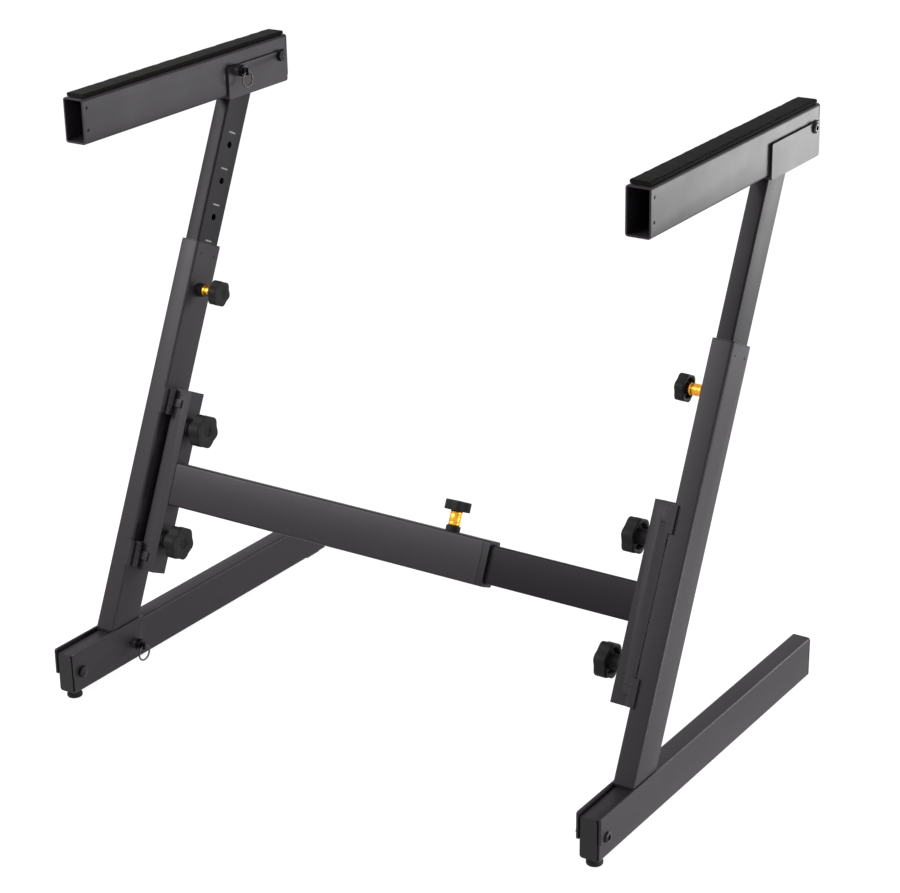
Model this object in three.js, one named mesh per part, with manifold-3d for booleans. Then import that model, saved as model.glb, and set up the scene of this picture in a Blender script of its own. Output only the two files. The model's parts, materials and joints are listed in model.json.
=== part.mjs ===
// A z keyboard stand: two leaning side frames with folding arms and feet, joined by a
// telescopic crossbar. Millimetres, +Z up, +X to the player's right seen from the front,
// -Y towards the player. The origin is on the floor under the middle of the stand.
import * as THREE from "three";
import { mergeVertices } from "three/addons/utils/BufferGeometryUtils.js";
import Module from "manifold-3d";

const wasm = await Module();
wasm.setup();

// Driving sizes

const degree = Math.PI / 180;
// How many straight edges stand for a full circle, a rounded corner and one knob lobe.
const lobes = 6; // on every knob
const sides = { round: 16, hole: 12, small: 8, wire: 6, hexagon: 6, corner: 2, lobe: 5 };

// Clearances between pieces that touch or run on each other.
const clearance = { seat: 0.3, side: 0.4, under: 0.7, running: 0.35, stud: 0.8, tip: 0.8 };
const overrun = 2; // how far a cutting tool passes the face that it cuts

const stand = {
  postX: 344.5, // middle of the stand to the middle of a post
  postBaseY: -177.7, // where the posts' centre line meets the floor
  lean: 25.3 * degree, // the posts lean back from upright
};

const outerPost = { width: 25, depth: 45, wall: 1.6, corner: 3, top: 518.6 };
const postPlay = 1.3; // the room all round the inner post, inside the outer post's walls
const innerPost = {
  width: outerPost.width - 2 * (outerPost.wall + postPlay),
  depth: outerPost.depth - 2 * (outerPost.wall + postPlay),
  wall: 1.8,
  corner: 2.5,
  bottom: 257.6,
};
const lockHole = { radius: 4, pitch: 43, countAbove: 4, countBelow: 4 };
const postBush = {
  wall: postPlay - clearance.seat - clearance.side,
  length: 30,
  lip: 1,
  pegRadius: 1.5,
  pegDrop: 12,
  pegSpread: 12,
};

const foot = {
  width: 23,
  height: 48,
  wall: 1.6,
  corner: 3,
  nose: 10, // pivot to the front end
  reach: 476, // pivot to the rear end
  pivotY: -232,
  pivotRise: 26.2, // the tube's underside to the pivot
};
const levelFoot = {
  radius: 9,
  height: 8.9, // the floor to the tube above it
  rim: 2.4,
  taper: 2,
  studRadius: 3,
  studRise: 9,
  back: 0.5, // behind the pivot
};
const rearPad = { length: 26, inset: 9, height: 2, pegRadius: 2.5, pegRise: 4 };
const cap = { flange: 2, plugWall: 1.4, plugDepth: 10, frontPlugDepth: 3.2, lip: 1.4 };

const arm = {
  width: 27.5,
  height: 50,
  wall: 2,
  corner: 3,
  bottomZ: 634.6,
  frontY: -156.1,
  tail: 17, // pivot to the rear end
  pivotY: 190.3,
  pivotRise: 28.2, // the tube's underside to the pivot
};
const rivetHole = { radius: 1.8, fromEnd: 6.1, spread: 12.1, raise: 2.6 };
const foam = { width: 23.5, height: 4.6, corner: 1.5, frontGap: 4.1, rearGap: 3.3 };

// The U-shaped saddles that carry an arm or a foot between their walls.
const saddle = { wall: 2.5, web: 3.2, corner: 2.5 };
const upperSaddle = { front: 99.3, rear: 12.2, wallTop: 5.7, pin: -82.6, pinDrop: 0.2 };
const lowerSaddle = { front: 12.2, rear: 112, wallBottom: 5.6, pin: 92.4, pinDrop: 2.4 };

const pivotBolt = {
  radius: 4,
  headRadius: 6,
  crownRadius: 4.6,
  headHeight: 2.6,
  nutRadius: 6.4,
  nutHeight: 4,
  proud: 0.8,
  socket: 2.6,
  socketDepth: 1.6,
};

// The ring-pull plungers that lock an arm or a foot in its saddle.
const ringPin = {
  bossRadius: 6.8,
  bossLength: 6,
  radius: 3,
  shoulderRadius: 7.2,
  shoulderLength: 5,
  lugThick: 3.6,
  lugHeight: 8,
  lugLength: 6.2,
  eyeRadius: 1.6,
  eyeFromEnd: 3.2,
};
const pullRing = { radius: 9, wire: 1 };

// The sprung height and width plungers with their gold collars.
const plunger = {
  bossRadius: 8,
  bossLength: 6,
  bossRim: 1,
  collarRadius: 6.5,
  collarLength: 16,
  collarStep: 0.4,
  pinRadius: 3,
  knobRadius: 15.6,
  knobValley: 1.9, // how far the knob's flats lie inside its corners
  knobLength: 10.5,
  knobEdge: 1,
  knobDish: 0.8,
  dishRadius: 4.5,
  hollowRadius: 11,
  hollowDepth: 4,
  hubRadius: 6,
};
const heightLock = { fromTop: 53.5 };

// The clamp knobs that pull each side frame against its bracket.
const clampKnob = {
  radius: 20.2,
  valley: 2.4, // how far the flats between the lobes lie inside them
  length: 14,
  edge: 1.4,
  hollowRadius: 14.5,
  hollowDepth: 6,
  recessRadius: 6,
  recessDepth: 1,
  hubRadius: 8.5,
  hubLength: 11.5,
  washerRadius: 11,
  washerHeight: 2,
  studRadius: 4,
};

const bracket = {
  webFromPost: 28.5, // the post's inner face to the web's outer face
  flange: 22.3,
  thick: 2.5,
  behindPostFront: 13, // the post's front face to the bracket's
  depth: 23,
  bottom: 133.1,
  length: 214.2,
  boltRadius: 4.4,
};
const hinge = {
  radius: 4.2,
  pinRadius: 1.8,
  length: 30,
  fromEnd: 1.5,
  fromPostFace: 4.5, // the pin's axis, inwards of the post's inner face
  behindPostFront: 8,
  leafThick: 2,
  leafWidth: 5.5,
  tabLength: 13,
};

const crossbar = {
  height: 50,
  depth: 22,
  wall: 1.6,
  corner: 3,
  centre: 238.6, // along the posts, from the floor
  end: 117,
};
const barPlay = 2.4; // the room all round the inner tube, inside the outer tube's walls
const innerBar = {
  height: crossbar.height - 2 * (crossbar.wall + barPlay),
  depth: crossbar.depth - 2 * (crossbar.wall + barPlay),
  wall: 1.6,
  corner: 2.5,
  start: -90,
};
const barBush = { length: 40, collar: 8 };
const widthLock = { x: 70, pitch: 48, outward: 3, inward: 3 };

// Finishes

const finish = (color, roughness, metalness) => {
  const settings = { color, roughness, metalness };
  return new THREE.MeshStandardMaterial(settings);
};
const powderCoat = finish(0x2f2e2f, 0.55, 0.3);
const blackPlastic = finish(0x222122, 0.6, 0);
const goldAnodised = finish(0xe0a234, 0.35, 0.9);
const blackSteel = finish(0x1c1b1c, 0.4, 0.8);
const brightSteel = finish(0x8d8d8f, 0.3, 1);
const foamRubber = finish(0x2b2a29, 0.95, 0);
const blackRubber = finish(0x1d1c1c, 0.85, 0);

// Shapes

const side = (width, height) => ({ x: width / 2, y: height / 2 });

function roundedRectangle(width, height, corner) {
  const { x, y } = side(width, height);
  const quarter = Math.PI / 2;
  const shape = new THREE.Shape();
  shape.absarc(x - corner, y - corner, corner, 0, quarter, false);
  shape.absarc(corner - x, y - corner, corner, quarter, 2 * quarter, false);
  shape.absarc(corner - x, corner - y, corner, 2 * quarter, 3 * quarter, false);
  shape.absarc(x - corner, corner - y, corner, 3 * quarter, 4 * quarter, false);
  shape.closePath();
  return shape;
}

function polygon(points) {
  return new THREE.Shape(points.map(([x, y]) => new THREE.Vector2(x, y)));
}

// A shape in XY drawn out along Z.
function prism(shape, from, to) {
  const options = { depth: to - from, bevelEnabled: false, curveSegments: sides.corner };
  return new THREE.ExtrudeGeometry(shape, options).translate(0, 0, from);
}

function hollowSection(width, height, wall, corner) {
  const shape = roundedRectangle(width, height, corner);
  const inner = Math.max(corner - wall, wall / 2);
  shape.holes.push(roundedRectangle(width - 2 * wall, height - 2 * wall, inner));
  return shape;
}

function box(width, depth, height) {
  return new THREE.BoxGeometry(width, depth, height);
}

// Turns a piece so that its Z lies along the named axis.
const xAxis = new THREE.Vector3(1, 0, 0);
const yAxis = new THREE.Vector3(0, 1, 0);
const zAxis = new THREE.Vector3(0, 0, 1);
const alongX = new THREE.Matrix4().makeBasis(yAxis, zAxis, xAxis);
const alongY = new THREE.Matrix4().makeBasis(zAxis, xAxis, yAxis);

function turned(geometry, matrix) {
  return geometry.applyMatrix4(matrix);
}

// A round bar along Z.
function rod(radius, from, to, count = sides.small) {
  const geometry = new THREE.CylinderGeometry(radius, radius, to - from, count);
  return geometry.rotateX(Math.PI / 2).translate(0, 0, (from + to) / 2);
}

// A profile of [radius, height] points, from the axis to the axis, turned about Z.
function revolved(points, count = sides.round) {
  const profile = points.map(([r, h]) => new THREE.Vector2(r, h));
  return new THREE.LatheGeometry(profile, count).rotateX(Math.PI / 2);
}

// Solids

function solid(geometry) {
  const bare = geometry.clone();
  bare.deleteAttribute("normal");
  bare.deleteAttribute("uv");
  const merged = mergeVertices(bare);
  const vertProperties = merged.attributes.position.array;
  const triVerts = new Uint32Array(merged.index.array);
  return new wasm.Manifold(new wasm.Mesh({ numProp: 3, vertProperties, triVerts }));
}

function joined(...geometries) {
  return geometries.map((g) => (g.isBufferGeometry ? solid(g) : g)).reduce((a, b) => a.add(b));
}

function cut(body, ...tools) {
  const start = body.isBufferGeometry ? solid(body) : body;
  return tools
    .map((g) => (g.isBufferGeometry ? solid(g) : g))
    .reduce((a, b) => a.subtract(b), start);
}

function surface(body) {
  const made = body.getMesh();
  const geometry = new THREE.BufferGeometry();
  geometry.setAttribute("position", new THREE.BufferAttribute(made.vertProperties, 3));
  geometry.setIndex(new THREE.BufferAttribute(made.triVerts, 1));
  const faceted = geometry.toNonIndexed();
  faceted.computeVertexNormals();
  return faceted;
}

function piece(name, body, material, place = [0, 0, 0]) {
  const geometry = body.isBufferGeometry ? body : surface(body);
  const mesh = new THREE.Mesh(geometry, material.clone());
  mesh.name = name;
  mesh.position.set(...place);
  return mesh;
}

// A side profile in [y, z] points, drawn out across the stand.
function crosswise(points, fromX, toX) {
  return turned(prism(polygon(points), fromX, toX), alongX);
}

// Places worked out from the driving sizes

const lean = { sin: Math.sin(stand.lean), cos: Math.cos(stand.lean) };
const postInnerFace = -outerPost.width / 2;
const postFrontFace = -outerPost.depth / 2;
const lockHeight = outerPost.top - heightLock.fromTop;
const bracketTop = bracket.bottom + bracket.length;
const bracketFront = postFrontFace + bracket.behindPostFront;
const bracketMiddle = bracketFront + bracket.depth / 2;
const webX = postInnerFace - bracket.webFromPost;
const hingePin = {
  x: postInnerFace - hinge.fromPostFace,
  y: postFrontFace + hinge.behindPostFront,
};
// Each clamp knob sits midway between the crossbar and an end of the bracket.
const knobHeights = [
  (bracket.bottom + crossbar.centre - crossbar.height / 2) / 2,
  (bracketTop + crossbar.centre + crossbar.height / 2) / 2,
];

const footUnder = -foot.pivotRise;
const footOver = foot.height - foot.pivotRise;
const rearPadMiddle = foot.reach - rearPad.inset - rearPad.length / 2;
const levelFootSpan = rearPadMiddle - levelFoot.back;
const footTilt = Math.atan((levelFoot.height - rearPad.height) / levelFootSpan);
const footPivotZ =
  levelFoot.height + foot.pivotRise / Math.cos(footTilt) + levelFoot.back * Math.tan(footTilt);
const lowerWebUnder = footOver + clearance.under;
const lowerWebOver = lowerWebUnder + saddle.web;

const armUnder = -arm.pivotRise;
const armOver = arm.height - arm.pivotRise;
const armPivotZ = arm.bottomZ + arm.pivotRise;
const armFront = arm.frontY - arm.pivotY;
const upperWebOver = armUnder - clearance.under;
const upperWebUnder = upperWebOver - saddle.web;

// Where a level z meets the posts' centre line, as a world y.
const postYAt = (z) => stand.postBaseY + (z * lean.sin) / lean.cos;

// Pieces of the folding foot, in a frame at its pivot: Y to the rear, Z up.

function tubeAlongY(size, from, to) {
  const section = hollowSection(size.height, size.width, size.wall, size.corner);
  return turned(prism(section, from, to), alongY).translate(0, 0, middleRise(size));
}

// How far a tube's middle lies above its pivot.
const middleRise = (size) => size.height / 2 - size.pivotRise;

// A cap on the rear end of a tube: a flat flange and a hollow plug inside the walls.
function rearCap(size, end) {
  const face = end - cap.flange;
  const flange = roundedRectangle(size.height, size.width, size.corner);
  return joined(
    turned(prism(flange, face, end), alongY),
    turned(prism(capPlug(size), face - cap.plugDepth, end - cap.flange / 2), alongY),
  ).translate(0, 0, middleRise(size));
}

function capPlug(size) {
  const slack = 2 * (size.wall + clearance.seat);
  const corner = size.corner - size.wall;
  return hollowSection(size.height - slack, size.width - slack, cap.plugWall, corner);
}

// The foot's front cap sits inside the tube, with a lip that rests on the end of its top wall.
function frontCap() {
  const slack = 2 * (foot.wall + clearance.seat);
  const corner = foot.corner - foot.wall;
  const start = -foot.nose;
  const panel = roundedRectangle(foot.height - slack, foot.width - slack, corner);
  const mouth = start + cap.flange;
  const lipTop = foot.height / 2;
  const lipDrop = foot.wall + clearance.seat + cap.lip;
  const lip = box(foot.width - 2 * foot.corner, cap.lip, lipDrop);
  lip.translate(0, start - clearance.seat - cap.lip / 2, lipTop - lipDrop / 2);
  return joined(
    turned(prism(panel, start - clearance.seat - cap.lip, mouth), alongY),
    turned(prism(capPlug(foot), start, mouth + cap.frontPlugDepth), alongY),
    lip,
  ).translate(0, 0, middleRise(foot));
}

function footTube() {
  const tube = tubeAlongY(foot, -foot.nose, foot.reach - cap.flange - clearance.seat);
  const pivot = rod(pivotBolt.radius + clearance.running, -foot.width, foot.width);
  const pinHole = rod(ringPin.radius + clearance.running, -foot.width, 0);
  const stud = rod(levelFoot.studRadius + clearance.running, footUnder - overrun, 0);
  const peg = rod(rearPad.pegRadius + clearance.running, footUnder - overrun, 0);
  return cut(
    tube,
    turned(pivot, alongX),
    turned(pinHole, alongX).translate(0, lowerSaddle.pin, -lowerSaddle.pinDrop),
    stud.translate(0, levelFoot.back + foot.pivotRise * Math.sin(footTilt), 0),
    peg.translate(0, rearPadMiddle + foot.pivotRise * Math.sin(footTilt), 0),
  );
}

// The levelling foot and the rear pad stand upright on the floor, below the tilted tube.
const tubeFloorGap = (y) =>
  footPivotZ - foot.pivotRise / Math.cos(footTilt) - y * Math.tan(footTilt);

function levellingFoot() {
  const gap = tubeFloorGap(levelFoot.back);
  const top = gap - clearance.seat - levelFoot.radius * Math.tan(footTilt);
  return revolved([
    [0, 0],
    [levelFoot.radius - levelFoot.rim / 2, 0],
    [levelFoot.radius, levelFoot.rim / 2],
    [levelFoot.radius, levelFoot.rim + levelFoot.rim / 2],
    [levelFoot.radius - levelFoot.taper, top],
    [levelFoot.studRadius, top],
    [levelFoot.studRadius, gap + levelFoot.studRise],
    [0, gap + levelFoot.studRise],
  ]);
}

function footRearPad() {
  const front = -rearPad.length / 2;
  const rear = rearPad.length / 2;
  const over = (y) => tubeFloorGap(rearPadMiddle + y) - clearance.seat;
  const half = foot.width / 2 - foot.corner;
  const pad = crosswise(
    [
      [front, 0],
      [rear, 0],
      [rear, over(rear)],
      [front, over(front)],
    ],
    -half,
    half,
  );
  return joined(pad, rod(rearPad.pegRadius, over(rear) / 2, over(0) + rearPad.pegRise));
}

// A bolt across the walls of a saddle: a low domed head outside, a nut inside.
function crossBolt(outside) {
  const face = outside + clearance.seat;
  const head = revolved([
    [0, face],
    [pivotBolt.headRadius, face],
    [pivotBolt.headRadius, face + pivotBolt.headHeight / 3],
    [pivotBolt.crownRadius, face + pivotBolt.headHeight],
    [0, face + pivotBolt.headHeight],
  ]);
  const shankEnd = -face - pivotBolt.nutHeight - pivotBolt.proud;
  const shank = rod(pivotBolt.radius, shankEnd, face + pivotBolt.headHeight / 3);
  const nut = rod(pivotBolt.nutRadius, -face - pivotBolt.nutHeight, -face, sides.hexagon);
  const socketFloor = face + pivotBolt.headHeight - pivotBolt.socketDepth;
  const socketTop = face + pivotBolt.headHeight + overrun;
  const socket = rod(pivotBolt.socket, socketFloor, socketTop, sides.hexagon);
  return turned(surface(cut(joined(head, shank, nut), socket)), alongX);
}

const footPinPlace = [0, lowerSaddle.pin, -lowerSaddle.pinDrop];
const armPinPlace = [0, upperSaddle.pin, -upperSaddle.pinDrop];

// A sprung pin with a flat eyed lug at its outer end, pointing to the middle of the stand.
const pinStart = (outside) => -outside - ringPin.bossLength - clearance.seat;

function lockPin(outside, tipX) {
  const start = pinStart(outside);
  const shoulder = rod(ringPin.shoulderRadius, start - ringPin.shoulderLength, start);
  const lugEnd = start - ringPin.shoulderLength - ringPin.lugLength;
  const lugStart = start - ringPin.shoulderLength / 2;
  const lug = box(lugStart - lugEnd, ringPin.lugThick, ringPin.lugHeight);
  lug.translate((lugStart + lugEnd) / 2, 0, 0);
  const eye = rod(ringPin.eyeRadius, -ringPin.lugThick, ringPin.lugThick);
  const stem = rod(ringPin.radius, start - ringPin.shoulderLength / 2, tipX);
  const round = turned(surface(joined(shoulder, stem)), alongX);
  return cut(joined(round, lug), turned(eye, alongY).translate(lugEnd + ringPin.eyeFromEnd, 0, 0));
}

const eyeX = (outside) =>
  pinStart(outside) - ringPin.shoulderLength - ringPin.lugLength + ringPin.eyeFromEnd;

function wireRing() {
  const ring = new THREE.TorusGeometry(pullRing.radius, pullRing.wire, sides.wire, sides.round);
  return solid(turned(ring, alongX).translate(0, 0, -pullRing.radius));
}

// A saddle's side profile is drawn in the frame of its pivot.
function saddleBody(inner, walls, web, pinAt) {
  const outer = inner + saddle.wall;
  const bossEnd = -outer - ringPin.bossLength;
  const wall = (from, to) => turned(prism(walls, from, to), alongX);
  const boss = turned(rod(ringPin.bossRadius, bossEnd, -inner, sides.round), alongX);
  const body = joined(
    wall(inner, outer),
    wall(-outer, -inner),
    crosswise(web, -outer, outer),
    boss.translate(...pinAt),
  );
  const bolt = rod(pivotBolt.radius + clearance.running, -outer - overrun, outer + overrun);
  const pin = rod(ringPin.radius + clearance.running, bossEnd - overrun, 0);
  return cut(body, turned(bolt, alongX), turned(pin, alongX).translate(...pinAt));
}

// A wall outline with one rounded corner pair at the pivot's end.
function wallOutline(front, rear, under, over, frontRound, rearRound) {
  const quarter = Math.PI / 2;
  const shape = new THREE.Shape();
  shape.moveTo(front + frontRound, under);
  shape.absarc(rear - rearRound, under + rearRound, rearRound, 3 * quarter, 4 * quarter, false);
  shape.absarc(rear - rearRound, over - rearRound, rearRound, 0, quarter, false);
  shape.absarc(front + frontRound, over - frontRound, frontRound, quarter, 2 * quarter, false);
  shape.absarc(front + frontRound, under + frontRound, frontRound, 2 * quarter, 3 * quarter, false);
  shape.closePath();
  return shape;
}

function lowerSaddleBody() {
  const { front, rear, wallBottom } = lowerSaddle;
  const { corner } = saddle;
  const walls = wallOutline(-front, rear, -wallBottom, lowerWebOver, corner, corner);
  const postY = postYAt(footPivotZ + lowerWebOver) - foot.pivotY;
  const webFront = postY - outerPost.depth / 2 / lean.cos;
  const web = [
    [webFront, lowerWebUnder],
    [rear - corner, lowerWebUnder],
    [rear - corner, lowerWebOver],
    [webFront, lowerWebOver],
  ];
  return saddleBody(foot.width / 2 + clearance.side, walls, web, footPinPlace);
}

function upperSaddleBody() {
  const { front, rear, wallTop } = upperSaddle;
  const walls = wallOutline(-front, rear, upperWebUnder, wallTop, saddle.corner, saddle.corner);
  const postY = postYAt(armPivotZ + upperWebUnder) - arm.pivotY;
  const webRear = postY + innerPost.depth / 2 / lean.cos;
  const web = [
    [saddle.corner - front, upperWebUnder],
    [webRear, upperWebUnder],
    [webRear, upperWebOver],
    [saddle.corner - front, upperWebOver],
  ];
  return saddleBody(arm.width / 2 + clearance.side, walls, web, armPinPlace);
}

// Pieces of the folding arm, in a frame at its pivot.

function armTube() {
  const gap = cap.flange + clearance.seat;
  const tube = tubeAlongY(arm, armFront, arm.tail - gap);
  const pivot = rod(pivotBolt.radius + clearance.running, -arm.width, arm.width);
  const pinHole = rod(ringPin.radius + clearance.running, -arm.width, 0);
  const rivets = [-rivetHole.spread, rivetHole.spread].map((z) =>
    turned(rod(rivetHole.radius, -arm.width, arm.width), alongX).translate(
      0,
      armFront + rivetHole.fromEnd,
      middleRise(arm) + rivetHole.raise + z,
    ),
  );
  return cut(
    tube,
    turned(pivot, alongX),
    turned(pinHole, alongX).translate(0, upperSaddle.pin, -upperSaddle.pinDrop),
    ...rivets,
  );
}

function foamStrip() {
  const from = armFront + foam.frontGap;
  const to = arm.tail - foam.rearGap;
  const shape = roundedRectangle(foam.height, foam.width, foam.corner);
  const middle = armOver + clearance.seat + foam.height / 2;
  return turned(prism(shape, from, to), alongY).translate(0, 0, middle);
}

// Pieces of a leaning post, in its frame: Z up the post, Y to its rear face, X outwards.

// A level plane in the post's frame, as a large tool with its face through a world point.
function levelTool(y, z, tilt, above) {
  const size = outerPost.top;
  const tool = box(size, size, size).translate(0, 0, (above ? size : -size) / 2);
  tool.rotateX(tilt);
  tool.translate(0, y - stand.postBaseY, z);
  return tool.rotateX(stand.lean);
}

function outerPostTube() {
  const section = hollowSection(outerPost.width, outerPost.depth, outerPost.wall, outerPost.corner);
  const tube = prism(section, 0, outerPost.top);
  const webTop = lowerWebOver + clearance.seat;
  const webY = foot.pivotY + webTop * Math.sin(footTilt);
  const webZ = footPivotZ + webTop * Math.cos(footTilt);
  const below = levelTool(webY, webZ, -footTilt, false);
  const lock = rod(plunger.pinRadius + clearance.running, -outerPost.width, 0);
  const studs = knobHeights.map((z) =>
    turned(rod(clampKnob.studRadius + clearance.stud, -outerPost.width, 0), alongX).translate(
      0,
      bracketMiddle,
      z,
    ),
  );
  const pegs = [-postBush.pegSpread, postBush.pegSpread].map((y) =>
    turned(
      rod(postBush.pegRadius + clearance.seat, -outerPost.width, outerPost.width),
      alongX,
    ).translate(0, y, outerPost.top - postBush.pegDrop),
  );
  return cut(tube, below, turned(lock, alongX).translate(0, 0, lockHeight), ...studs, ...pegs);
}

function postBushing() {
  const slack = 2 * (outerPost.wall + clearance.seat);
  const width = outerPost.width - slack;
  const depth = outerPost.depth - slack;
  const corner = outerPost.corner - outerPost.wall;
  const bottom = outerPost.top - postBush.length;
  const top = outerPost.top + clearance.seat + postBush.lip;
  const sleeve = prism(hollowSection(width, depth, postBush.wall, corner), bottom, top);
  const lipWall = outerPost.wall + clearance.seat + postBush.wall;
  const lipShape = hollowSection(outerPost.width, outerPost.depth, lipWall, outerPost.corner);
  const lip = prism(lipShape, outerPost.top + clearance.seat, top);
  const pegFrom = width / 2 - postBush.wall / 2;
  const pegTo = outerPost.width / 2 - clearance.seat;
  const pegs = [-1, 1].flatMap((across) =>
    [-postBush.pegSpread, postBush.pegSpread].map((y) =>
      turned(rod(postBush.pegRadius, pegFrom, pegTo), alongX)
        .rotateZ(across > 0 ? 0 : Math.PI)
        .translate(0, y, outerPost.top - postBush.pegDrop),
    ),
  );
  return joined(sleeve, lip, ...pegs);
}

function innerPostTube() {
  const section = hollowSection(innerPost.width, innerPost.depth, innerPost.wall, innerPost.corner);
  const webZ = armPivotZ + upperWebUnder - clearance.seat;
  const topLength = (webZ + innerPost.depth) / lean.cos;
  const tube = prism(section, innerPost.bottom, topLength);
  const above = levelTool(postYAt(webZ), webZ, 0, true);
  const holes = [];
  for (let step = -lockHole.countBelow; step <= lockHole.countAbove; step += 1) {
    const hole = turned(rod(lockHole.radius, -innerPost.width, 0, sides.hole), alongX);
    holes.push(hole.translate(0, 0, lockHeight + step * lockHole.pitch));
  }
  return cut(tube, above, ...holes);
}

// The height plunger points inwards from the post, so its Z runs along -X.
const inwards = new THREE.Matrix4().makeBasis(yAxis, zAxis.clone().negate(), xAxis.clone().negate());

function plungerBoss(pin) {
  return cut(
    revolved([
      [0, clearance.seat],
      [plunger.bossRadius, clearance.seat],
      [plunger.bossRadius, plunger.bossLength - plunger.bossRim],
      [plunger.bossRadius - plunger.bossRim, plunger.bossLength],
      [0, plunger.bossLength],
    ]),
    rod(pin, -overrun, plunger.bossLength + overrun),
  );
}

const collarStart = plunger.bossLength + clearance.seat;
const collarEnd = collarStart + plunger.collarLength;

function plungerCollar(pin) {
  const waist = plunger.collarRadius - plunger.collarStep;
  const third = plunger.collarLength / 3;
  return cut(
    revolved([
      [0, collarStart],
      [plunger.collarRadius, collarStart],
      [plunger.collarRadius, collarStart + third],
      [waist, collarStart + third + plunger.collarStep],
      [waist, collarEnd - third],
      [plunger.collarRadius, collarEnd - third + plunger.collarStep],
      [plunger.collarRadius, collarEnd],
      [0, collarEnd],
    ]),
    rod(pin, collarStart - overrun, collarEnd + overrun),
  );
}

function plungerKnob(pinDepth) {
  const start = collarEnd + clearance.seat;
  const end = start + plunger.knobLength;
  const { knobRadius, knobValley, knobEdge, knobDish, dishRadius } = plunger;
  const { hollowRadius, hollowDepth, hubRadius, pinRadius } = plunger;
  const head = lobedHead(knobRadius, knobValley, knobEdge, start, end);
  const hollow = rod(hollowRadius, start - overrun, start + hollowDepth, sides.round);
  const dish = rod(dishRadius, end - knobDish, end + overrun, sides.round);
  const hub = rod(hubRadius, start, start + hollowDepth + knobEdge, sides.round);
  return joined(cut(head, hollow, dish), hub, rod(pinRadius, -pinDepth, start + hollowDepth));
}

// A clamp knob in a frame at the web's outer face: Z points to the middle of the stand.

function lobedOutline(radius, valley) {
  const points = [];
  const count = lobes * sides.lobe;
  for (let i = 0; i < count; i += 1) {
    const angle = (i / count) * 2 * Math.PI;
    const reach = radius - (valley * (1 - Math.cos(lobes * angle))) / 2;
    points.push([reach * Math.cos(angle), reach * Math.sin(angle)]);
  }
  return polygon(points);
}

function lobedHead(radius, valley, edge, from, to) {
  return new THREE.ExtrudeGeometry(lobedOutline(radius, valley), {
    depth: to - from - 2 * edge,
    bevelThickness: edge,
    bevelSize: edge / 2,
    bevelOffset: -edge / 2,
    bevelSegments: 1,
  }).translate(0, 0, from + edge);
}

function clampKnobBody() {
  const { washerRadius, washerHeight, hubRadius, hubLength, length, edge } = clampKnob;
  const start = clearance.seat;
  const headStart = start + hubLength;
  const headEnd = headStart + length;
  const washer = rod(washerRadius, start, start + washerHeight, sides.round);
  const hub = rod(hubRadius, start, headEnd - 2 * clampKnob.recessDepth, sides.round);
  const head = lobedHead(clampKnob.radius, clampKnob.valley, edge, headStart, headEnd);
  const { hollowRadius, hollowDepth, recessRadius, recessDepth } = clampKnob;
  const hollow = rod(hollowRadius, headStart - overrun, headStart + hollowDepth, sides.round);
  const recess = rod(recessRadius, headEnd - recessDepth, headEnd + overrun, sides.round);
  const reach = bracket.webFromPost + outerPost.wall;
  const stud = rod(clampKnob.studRadius, -reach + clearance.seat, headStart);
  return joined(cut(head, hollow, recess), washer, hub, stud);
}

function bracketBody() {
  const { thick, flange, depth, bottom } = bracket;
  const outer = webX;
  const front = bracketFront;
  const rear = front + depth;
  const channel = polygon([
    [outer, front],
    [outer + flange, front],
    [outer + flange, front + thick],
    [outer + thick, front + thick],
    [outer + thick, rear - thick],
    [outer + flange, rear - thick],
    [outer + flange, rear],
    [outer, rear],
  ]);
  const body = [prism(channel, bottom, bracketTop)];
  const third = hinge.length / 3;
  hingeMiddles.forEach((middle) => {
    const from = middle - third / 2 + clearance.seat;
    const to = middle + third / 2 - clearance.seat;
    const knuckle = rod(hinge.radius, from, to, sides.round).translate(hingePin.x, hingePin.y, 0);
    const tab = box(hinge.tabLength, hinge.leafThick + thick / 2, to - from);
    const tabMiddle = front + (thick / 2 - hinge.leafThick) / 2;
    tab.translate(hingePin.x - hinge.tabLength / 2, tabMiddle, middle);
    body.push(knuckle, tab);
  });
  const bore = rod(hinge.pinRadius + clearance.running, bottom, bracketTop);
  const bolts = knobHeights.map((z) =>
    turned(rod(bracket.boltRadius, outer - overrun, outer + thick + overrun), alongX).translate(
      0,
      bracketMiddle,
      z,
    ),
  );
  return cut(joined(...body), bore.translate(hingePin.x, hingePin.y, 0), ...bolts);
}

const hingeMiddles = [
  bracket.bottom + hinge.fromEnd + hinge.length / 2,
  bracketTop - hinge.fromEnd - hinge.length / 2,
];

// The post's leaf of a bracket hinge: a bent plate on the post's front corner, with the pin.
function hingeLeaf(middle) {
  const from = middle - hinge.length / 2;
  const to = middle + hinge.length / 2;
  const gap = clearance.seat;
  const plateFront = postFrontFace - gap - hinge.leafThick;
  const cheek = postInnerFace - gap;
  const outline = polygon([
    [postInnerFace + hinge.leafWidth, plateFront],
    [postInnerFace + hinge.leafWidth, postFrontFace - gap],
    [cheek, postFrontFace - gap],
    [cheek, hingePin.y],
    [cheek - hinge.leafThick, hingePin.y],
    [cheek - hinge.leafThick, plateFront + hinge.leafThick / 2],
    [cheek - hinge.leafThick / 2, plateFront],
  ]);
  const third = hinge.length / 3;
  const barrel = rod(hinge.radius, from, to, sides.round);
  const roomRadius = hinge.radius + clearance.side;
  const room = rod(roomRadius, middle - third / 2, middle + third / 2, sides.round);
  const pin = rod(hinge.pinRadius, from, to).translate(hingePin.x, hingePin.y, 0);
  const plates = joined(
    prism(orient(outline), from, to),
    barrel.translate(hingePin.x, hingePin.y, 0),
  );
  return joined(cut(plates, room.translate(hingePin.x, hingePin.y, 0)), pin);
}

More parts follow.
